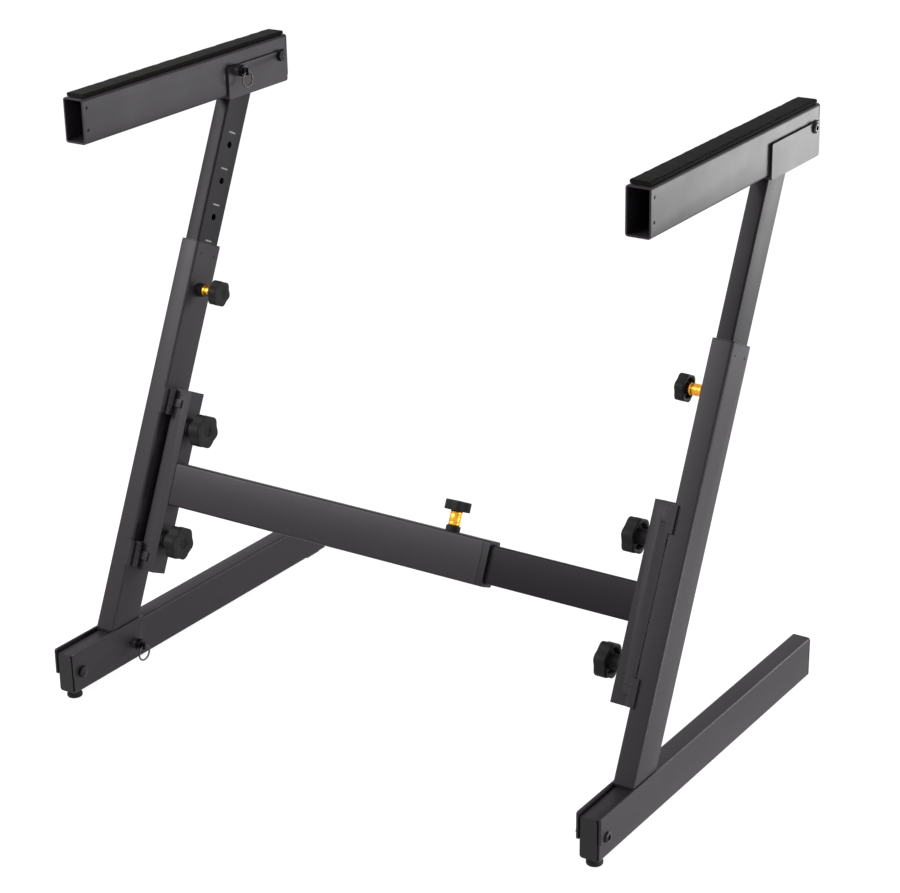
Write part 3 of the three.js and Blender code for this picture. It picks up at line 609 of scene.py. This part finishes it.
def plunger(name, where, boss_body, knob_body, pin_depth):
    boss = in_mm((BORE, 0.3), (8, 0.3)) + rounded(8 * MM, 6 * MM, 1 * MM) + in_mm((BORE, 6))
    collar = in_mm((BORE, 6.3), (6.1, 6.3), (6.5, 6.7), (6.5, 9.3), (6.3, 9.6), (6.3, 10))
    collar += in_mm((6.42, 10.3), (6.42, 18.3), (6.3, 18.6), (6.3, 19), (6.5, 19.3))
    collar += in_mm((6.5, 21.9), (6.1, 22.3), (BORE, 22.3))
    outline = lobed(PULL_RADIUS, PULL_VALLEY)
    knob = in_mm((0, 22.8), (5.6, 22.8), (6, 23.2), (6, 26.2), (6.4, 26.6))
    knob += in_mm((10.6, 26.6), (11, 26.2), (11, 23), (11.4, 22.6))
    knob += rounded(PULL_RADIUS, PULL_BACK, 0.9 * MM, upward=-1, outline=outline)
    knob += rounded(PULL_RADIUS, PULL_FRONT, 1 * MM, outline=outline)
    knob += in_mm((4.9, 33.1), (4.5, 32.8), (3.4, 32.4), (0, 32.3))
    pin = in_mm((0, -pin_depth), (2.5, -pin_depth), (3, 0.5 - pin_depth), (3, 22.7), (0, 22.7))
    node = name + "_boss"
    lathe(node + "_moulded", boss, where, nylon, boss_body, "black_plastic", node)
    node = name + "_collar"
    lathe(node + "_turned", collar, where, gold, boss_body, "gold_anodised", node)
    node = name + "_knob"
    lathe(node + "_moulded", knob, where, nylon, knob_body, "black_plastic", node)
    lathe(name + "_pin_turned", pin, where, nickel, knob_body, "bright_steel")


for side in HANDS:
    post_face = on_post(side, POST_X - POST_WIDTH / 2, 0, LOCK_UP)
    where = axis_at(post_face, (-HANDS[side], 0, 0), BEHIND_POST)
    plunger(side + "_height", where, side + "_post", side + "_height_plunger", HEIGHT_PIN)
bar_top = on_post("right", WIDTH_LOCK_X, BAR_BEHIND, BAR_TOP_UP)
where = axis_at(bar_top, UP_POST, (1, 0, 0))
plunger("width", where, "crossbar_outer", "width_plunger", WIDTH_PIN)
print("plungers: 3, knob", round(2 * PULL_RADIUS / MM, 1), "mm across")

# %% [markdown]
# ## Height marks
# A short white line is printed above each hole of the sliding posts, so that both sides can be
# set to the same height. A line could be painted by the material, but then it would follow a
# pattern's coordinates. Here each is a thin plate with round ends, like a film of ink, and it
# slides with its post. Dried ink is a plastic too, so it has the same tree as the mouldings.

# %% Print the height marks
MARK_LENGTH = 12 * MM
MARK_WIDTH = 1.7 * MM
MARK_STEPS = 24
INK_PROUD = 0.06 * MM
INK_SUNK = 0.02 * MM
HOLES = 9
HOLE_PITCH = 43 * MM
MARK_ABOVE_HOLE = 14.5 * MM

white_ink = moulded("white_printing_ink", "#7c7c7a", "#a09f9c", 0.5, 0.6 * MM, 0.02 * MM)


def height_mark(side, number, up):
    low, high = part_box(side + "_inner_post")
    face = min(abs(low.x), abs(high.x))
    shape = bmesh.new()
    films = []
    for shift in (INK_SUNK, -INK_PROUD):
        centre = on_post(side, face + shift, 0, up)
        film = []
        for step in range(MARK_STEPS):
            angle = 2 * math.pi * (step + 0.5) / MARK_STEPS
            along = math.copysign((MARK_LENGTH - MARK_WIDTH) / 2, math.cos(angle))
            along += math.cos(angle) * MARK_WIDTH / 2
            rise = math.sin(angle) * MARK_WIDTH / 2
            film.append(shape.verts.new(centre + BEHIND_POST * along + UP_POST * rise))
        films.append(film)
    under, over = films
    shape.faces.new(under)
    shape.faces.new(over)
    for step in range(MARK_STEPS):
        after = (step + 1) % MARK_STEPS
        shape.faces.new((under[step], under[after], over[after], over[step]))
    bmesh.ops.recalc_face_normals(shape, faces=shape.faces)
    mesh = to_mesh(shape, side + "_height_mark_" + str(number))
    keep(mesh, white_ink, side + "_mast", None)


for side in HANDS:
    for number in range(HOLES):
        up = LOCK_UP + (number - HOLES // 2) * HOLE_PITCH + MARK_ABOVE_HOLE
        height_mark(side, number + 1, up)
print("height marks:", HOLES, "on each post")

# %% [markdown]
# ## Painted shade strips in the hinge gaps
# Between each post and its bracket is a gap, and a side frame folds on two hinges in it. A thin
# black strip with the foam finish lies on the post's face there. It is painted shade: a dark sheet
# that makes the gap black where the gap's deep shade would be. It is cut as a flat grid of cells,
# without the two cells where the clamp studs enter the post, and then thickened.

# %% Stick on the painted shade strips
SHADE_STRIP_ACROSS = [-11 * MM, -3.5 * MM, 7.5 * MM, 11 * MM]
SHADE_STRIP_FROM, SHADE_STRIP_TO = 165.5 * MM, 315 * MM
SHADE_STRIP_THICK = 0.9 * MM
GLUE = 0.05 * MM
STUD_ROOM = 5.5 * MM
STUD_CELLS = {(1, 1), (3, 1)}


def painted_shade_strip(side):
    lower, upper = KNOB_HEIGHTS["lower"], KNOB_HEIGHTS["upper"]
    rows = [SHADE_STRIP_FROM, lower - STUD_ROOM, lower + STUD_ROOM]
    rows += [upper - STUD_ROOM, upper + STUD_ROOM, SHADE_STRIP_TO]
    face = POST_X - POST_WIDTH / 2 - GLUE
    shape = bmesh.new()
    glued, outer = [
        [
            [shape.verts.new(on_post(side, face - lift, behind, up)) for behind in SHADE_STRIP_ACROSS]
            for up in rows
        ]
        for lift in (0, SHADE_STRIP_THICK)
    ]
    row_count, column_count = len(rows) - 1, len(SHADE_STRIP_ACROSS) - 1
    grid = [(row, column) for row in range(row_count) for column in range(column_count)]
    cells = [cell for cell in grid if cell not in STUD_CELLS]
    for row, column in cells:
        corners = [(row, column), (row, column + 1), (row + 1, column + 1), (row + 1, column)]
        shape.faces.new([glued[r][c] for r, c in corners])
        shape.faces.new([outer[r][c] for r, c in corners])
        beyond = [(row - 1, column), (row, column + 1), (row + 1, column), (row, column - 1)]
        for number, neighbour in enumerate(beyond):
            if neighbour not in cells:
                (r, c), (s, d) = corners[number], corners[(number + 1) % len(corners)]
                shape.faces.new((glued[r][c], glued[s][d], outer[s][d], outer[r][c]))
    bmesh.ops.recalc_face_normals(shape, faces=shape.faces)
    mesh = to_mesh(shape, side + "_post_buffer_strip")
    # a dark sheet of painted shade in the hinge gap, with the foam finish
    strip = keep(mesh, foam, side + "_post", "foam_rubber")


for side in HANDS:
    painted_shade_strip(side)
# the two strips are painted shade in the hinge gaps
print("buffer strips: 2,", round(SHADE_STRIP_THICK / MM, 1), "mm thick")

# %% [markdown]
# ## Pegs in the arms
# Each wall of an arm has two small holes near the open front end, and a domed plastic peg fills
# each hole. It could be a dark dot in the material, but a turned peg catches light as a real one
# does. It ends just under the face, so it shows as a dot with a dark rim.

# %% Fit the pegs
PEG_RADIUS = 1.62  # in mm, as in the profile
PEG_FROM_END = 6.1 * MM
PEG_RISES = {"upper": 14.7 * MM, "lower": -9.5 * MM}


def arm_pegs(side):
    low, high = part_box(side + "_arm_tube")
    peg = in_mm((0, -2.05), (PEG_RADIUS - 0.2, -2.05), (PEG_RADIUS, -1.8), (PEG_RADIUS, -0.5))
    peg += in_mm((1.2, -0.35), (0.6, -0.25), (0, -0.22))
    y = low.y + PEG_FROM_END
    for wall, x, outward in (("low", low.x, -1), ("high", high.x, 1)):
        for level, rise in PEG_RISES.items():
            where = axis_at((x, y, (low.z + high.z) / 2 + rise), (outward, 0, 0))
            name = side + "_arm_peg_" + wall + "_x_" + level
            lathe(name, peg, where, nylon, side + "_arm", "black_plastic")


for side in HANDS:
    arm_pegs(side)
print("pegs: 4 in each arm")

# %% [markdown]
# ## Pivot bolts
# Each arm and each foot turns on a bolt through its saddle. Outside is a low domed head with a
# hexagon socket, inside a lock nut. The nut could be a piece of its own, but it never moves on the
# bolt, so one profile draws both. The hexagon outline serves the socket and the nut.

# %% Make the pivot bolts


def pivot_bolt(side, part, body):
    node = side + "_" + part + "_pivot_bolt"
    low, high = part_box(node)
    outer = max(abs(low.x), abs(high.x))
    inner = min(abs(low.x), abs(high.x))
    end = (outer - inner) / MM
    bolt = in_mm((0, 0), (3.4, 0), (4, 0.5), (4, 0.8))
    bolt += in_mm((5, 0.8), (6.8, 1.4), (6.8, 4.7), outline=hexagon)
    bolt += in_mm((4, 4.8), (4, end - 2.6), (6, end - 2.6), (6, end - 1.7))
    bolt += in_mm((5.5, end - 0.8), (4.6, end - 0.2), (3.8, end))
    bolt += in_mm((3, end), (3, end - 1.6), outline=hexagon) + in_mm((0, end - 1.6))
    hand = HANDS[side]
    middle_y, middle_z = (low.y + high.y) / 2, (low.z + high.z) / 2
    where = axis_at((hand * inner, middle_y, middle_z), (hand, 0, 0))
    lathe(node + "_turned", bolt, where, black_oxide, body, "black_steel", node)


for side in HANDS:
    pivot_bolt(side, "foot", side + "_post")
    pivot_bolt(side, "arm", side + "_mast")
print("pivot bolts: 4")

# %% [markdown]
# ## Pull rings
# A wire ring hangs in the eye of each lock pin. A Torus primitive would do, but the ring has to
# sit exactly where the solid is, so it is swept here: small circles of wire along a big circle.

# %% Make the pull rings
RING_RADIUS = 9 * MM
WIRE_RADIUS = 1 * MM
RING_STEPS = 56
WIRE_STEPS = 12


def pull_ring(side, part, body):
    node = side + "_" + part + "_pin_ring"
    low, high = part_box(node)
    centre = (low + high) / 2
    shape = bmesh.new()
    loops = []
    for step in range(RING_STEPS):
        angle = 2 * math.pi * step / RING_STEPS
        outward = Vector((0, math.cos(angle), math.sin(angle)))
        loop = []
        for turn in range(WIRE_STEPS):
            around = 2 * math.pi * turn / WIRE_STEPS
            offset = outward * (RING_RADIUS + WIRE_RADIUS * math.cos(around))
            side_step = Vector((WIRE_RADIUS * math.sin(around), 0, 0))
            loop.append(shape.verts.new(centre + offset + side_step))
        loops.append(loop)
    for step, loop in enumerate(loops):
        following = loops[(step + 1) % RING_STEPS]
        for turn in range(WIRE_STEPS):
            after = (turn + 1) % WIRE_STEPS
            shape.faces.new((loop[turn], loop[after], following[after], following[turn]))
    bmesh.ops.recalc_face_normals(shape, faces=shape.faces)
    mesh = to_mesh(shape, node + "_wire")
    smooth(mesh)
    keep(mesh, nickel, body, "bright_steel", node)


for side in HANDS:
    pull_ring(side, "foot", side + "_foot_ring")
    pull_ring(side, "arm", side + "_arm_ring")
print("pull rings: 4,", round(2 * RING_RADIUS / MM), "mm across the wire's middle")

# %% [markdown]
# ## Levelling feet
# A rubber disc on a threaded stud stands under the front of each foot tube. Turning it levels
# the stand on an uneven floor, so its rim is ribbed for the fingers. The stud is black as well
# and hardly shows, so disc and stud are turned as one piece.

# %% Make the levelling feet
RIBS = 21
RIB_DEPTH = 0.03  # of the radius


def ribbed(angle):
    return 1 - RIB_DEPTH * (1 + math.cos(RIBS * angle)) / 2


for side in HANDS:
    node = side + "_leveling_foot"
    low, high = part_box(node)
    centre = (low + high) / 2
    disc = in_mm((0, 0), (7.6, 0), (8.4, 0.3)) + in_mm((9, 1.2), (9, 3.4), outline=ribbed)
    disc += in_mm((8.4, 4.2), (7.2, 8.2), (3, 8.4))
    disc += thread(8.6 * MM, high.z, 3 * MM, 1.5 * MM, 0.4 * MM) + [(0, high.z, circle)]
    where = axis_at((centre.x, centre.y, 0), (0, 0, 1))
    lathe(node + "_moulded", disc, where, rubber, side + "_leveler", "black_rubber", node)
print("levelling feet: 2")

# %% [markdown]
# ## Foam strips
# The foam is soft and was cut by knife, so its edges are round and its top isn't quite flat. It
# is built as a long skin of rounded sections. One smooth noise lifts and lowers its top by a few
# tenths of a millimetre, another draws its sides in, as the knife did. The bottom stays flat,
# glued to the arm.

# %% Draw the section of the foam
FOAM_CORNER = 1.7 * MM
FOAM_CORNER_POINTS = 6
FOAM_SECTIONS = 160
TOP_WAVE = (7 * MM, 9 * MM)  # the size of the waves, across and along
SIDE_WAVE = (30 * MM, 6 * MM)
TOP_SLICE, SIDE_SLICE = 3.0, 8.0  # where in the noise
WAVE_DEPTH = 0.35 * MM
TOP_SINK = 0.2 * MM


def foam_outline(half_width, bottom, top):
    outline = []
    for across, rise, start in ((1, 1, 0), (-1, 1, 90), (-1, -1, 180), (1, -1, 270)):
        for step in range(FOAM_CORNER_POINTS):
            angle = math.radians(start + 90 * step / (FOAM_CORNER_POINTS - 1))
            x = across * (half_width - FOAM_CORNER) + FOAM_CORNER * math.cos(angle)
            z = (top if rise > 0 else bottom) - rise * FOAM_CORNER
            outline.append((x, z + FOAM_CORNER * math.sin(angle)))
    return outline


def cut_unevenly(x, y, z, low, high, hand):
    above_glue = (z - low.z) / (high.z - low.z)
    wave = noise.noise(Vector((x / TOP_WAVE[0], y / TOP_WAVE[1], TOP_SLICE * hand)))
    lift = (wave * WAVE_DEPTH - TOP_SINK) * above_glue
    cut = noise.noise(Vector((x / SIDE_WAVE[0], y / SIDE_WAVE[1], SIDE_SLICE + hand)))
    inset = (cut - 1) * WAVE_DEPTH * math.copysign(1, x)
    return ((low.x + high.x) / 2 + x + inset, y, z + lift)


print("points in a section:", 4 * FOAM_CORNER_POINTS)

# %% [markdown]
# ## The foam on the arms
# The section is repeated about every 2 mm along the solid of each strip, and each time the noise
# moves its points a little. Faces join the sections, and one more closes each end. A Displace
# modifier could do nearly the same, but it would move the glued face too.

# %% Lay the foam on the arms
for side, hand in HANDS.items():
    node = side + "_arm_foam"
    low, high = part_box(node)
    outline = foam_outline((high.x - low.x) / 2, low.z, high.z)
    shape = bmesh.new()
    sections = []
    for number in range(FOAM_SECTIONS + 1):
        y = low.y + (high.y - low.y) * number / FOAM_SECTIONS
        places = [cut_unevenly(x, y, z, low, high, hand) for x, z in outline]
        sections.append([shape.verts.new(place) for place in places])
    for near, far in zip(sections, sections[1:]):
        for number in range(len(near)):
            after = (number + 1) % len(near)
            shape.faces.new((near[number], near[after], far[after], far[number]))
    shape.faces.new(sections[0])
    shape.faces.new(list(reversed(sections[-1])))
    bmesh.ops.recalc_face_normals(shape, faces=shape.faces)
    mesh = to_mesh(shape, node + "_strip")
    smooth(mesh)
    strip = keep(mesh, foam, side + "_arm", "foam_rubber", node)
print("foam strips: 2,", round((high.y - low.y) / MM), "mm long")

# %% [markdown]
# ## The white room
# The picture was taken on white paper. The camera has to see pure white, but a room that bright
# would flood the black coat. A Light Path node tells the rays apart: the camera's rays, and those
# that mirror off a surface or pass through it, meet white at strength 1. The rays that only carry
# light to a matt surface meet a dimmer room. One function gives the same switch to the world and
# to the floor.

# %% Make the world
WHITE = (1, 1, 1, 1)
ROOM_LIGHT = 0.4

world = bpy.data.worlds.new("studio")
bpy.context.scene.world = world
world.use_nodes = True
tree = world.node_tree
tree.nodes.clear()


def sees_white(tree):
    rays = add_node(tree, "ShaderNodeLightPath")
    mirrored = add_node(tree, "ShaderNodeMath", {"operation": "MAXIMUM"})
    tree.links.new(rays.outputs["Is Camera Ray"], mirrored.inputs[0])
    tree.links.new(rays.outputs["Is Glossy Ray"], mirrored.inputs[1])
    any_of_them = add_node(tree, "ShaderNodeMath", {"operation": "MAXIMUM"})
    tree.links.new(mirrored.outputs[0], any_of_them.inputs[0])
    tree.links.new(rays.outputs["Is Transmission Ray"], any_of_them.inputs[1])
    return any_of_them.outputs[0]


paper = add_node(tree, "ShaderNodeBackground", {"Color": WHITE, "Strength": 1.0})
room = add_node(tree, "ShaderNodeBackground", {"Color": WHITE, "Strength": ROOM_LIGHT})
both = add_node(tree, "ShaderNodeMixShader", links={"Fac": sees_white(tree)})
tree.links.new(room.outputs[0], both.inputs[1])
tree.links.new(paper.outputs[0], both.inputs[2])
add_node(tree, "ShaderNodeOutputWorld", links={"Surface": both.outputs[0]})
print("world:", world.name, "with a room of strength", ROOM_LIGHT)

# %% [markdown]
# ## Lamps
# Black satin shows lamps more than its own colour: a face looks light when it mirrors a lamp. From
# this camera the right faces mirror what stands behind on the right, low down, and the fronts
# mirror what stands in front on the left. So two soft lamps stand at these places: the one behind
# on the right aims at the right arm, which is the lightest part of the picture. A weak lamp in
# front brings up the faces of the posts, which lean back, and a low weak one at the right brings
# up the foot there.

# %% Set up the lamps


def soft_lamp(name, place, aim, size, watts):
    data = bpy.data.lights.new(name, "AREA")
    data.shape = "RECTANGLE"
    data.size, data.size_y = size
    data.energy = watts
    lamp = bpy.data.objects.new(name, data)
    bpy.context.scene.collection.objects.link(lamp)
    lamp.location = place
    lamp.visible_camera = False
    lamp.rotation_mode = "QUATERNION"
    lamp.rotation_quaternion = (Vector(aim) - Vector(place)).to_track_quat("-Z", "Y")
    print(name, "at", watts, "W")


# name, place, what it aims at, size in metres, watts
soft_lamp("lamp_right_rear", (0.95, 1.3, 0.4), (0.36, 0.15, 0.66), (0.4, 0.5), 13)
soft_lamp("lamp_front_left", (-1.15, -1.0, 1.3), (-0.2, 0.0, 0.5), (0.4, 0.4), 27)
soft_lamp("lamp_front_middle", (-0.25, -1.1, 1.35), (0.34, 0.0, 0.5), (0.4, 0.3), 9)
soft_lamp("lamp_right_low", (0.9, 0.0, 0.12), (0.36, -0.05, 0.1), (0.5, 0.1), 5)

# %% [markdown]
# ## The floor
# The floor is one large sheet of paper, just under the feet. It has the same switch as the world.
# In the rays that see white, most of the sheet glows, and a small lit share keeps the stand's
# shadow.

# %% Lay the floor
FLOOR_REACH = 12.0
FLOOR_DROP = 0.2 * MM
GLOW = 0.95
LIT_SHARE = (0.18, 0.18, 0.18, 1)
MATT_PAPER = (0.9, 0.9, 0.9, 1)

floor_mesh = bpy.data.meshes.new("floor")
signs = ((-1, -1), (1, -1), (1, 1), (-1, 1))
corners = [(x * FLOOR_REACH, y * FLOOR_REACH, 0) for x, y in signs]
floor_mesh.from_pydata(corners, [], [(0, 1, 2, 3)])
floor = bpy.data.objects.new("floor", floor_mesh)
bpy.context.scene.collection.objects.link(floor)
floor.location.z = -FLOOR_DROP
paper_sheet = bpy.data.materials.new("white_backdrop_paper")
paper_sheet.use_nodes = True
tree = paper_sheet.node_tree
tree.nodes.clear()
lit = add_node(tree, "ShaderNodeBsdfDiffuse", {"Color": MATT_PAPER})
glow = add_node(tree, "ShaderNodeEmission", {"Color": WHITE, "Strength": GLOW})
shade = add_node(tree, "ShaderNodeBsdfDiffuse", {"Color": LIT_SHARE})
glow_and_shade = add_node(tree, "ShaderNodeAddShader")
tree.links.new(glow.outputs[0], glow_and_shade.inputs[0])
tree.links.new(shade.outputs[0], glow_and_shade.inputs[1])
sheet_mix = add_node(tree, "ShaderNodeMixShader", links={"Fac": sees_white(tree)})
tree.links.new(lit.outputs[0], sheet_mix.inputs[1])
tree.links.new(glow_and_shade.outputs[0], sheet_mix.inputs[2])
add_node(tree, "ShaderNodeOutputMaterial", links={"Surface": sheet_mix.outputs[0]})
floor_mesh.materials.append(paper_sheet)
bpy.context.scene.view_settings.view_transform = "Standard"
print("floor laid")
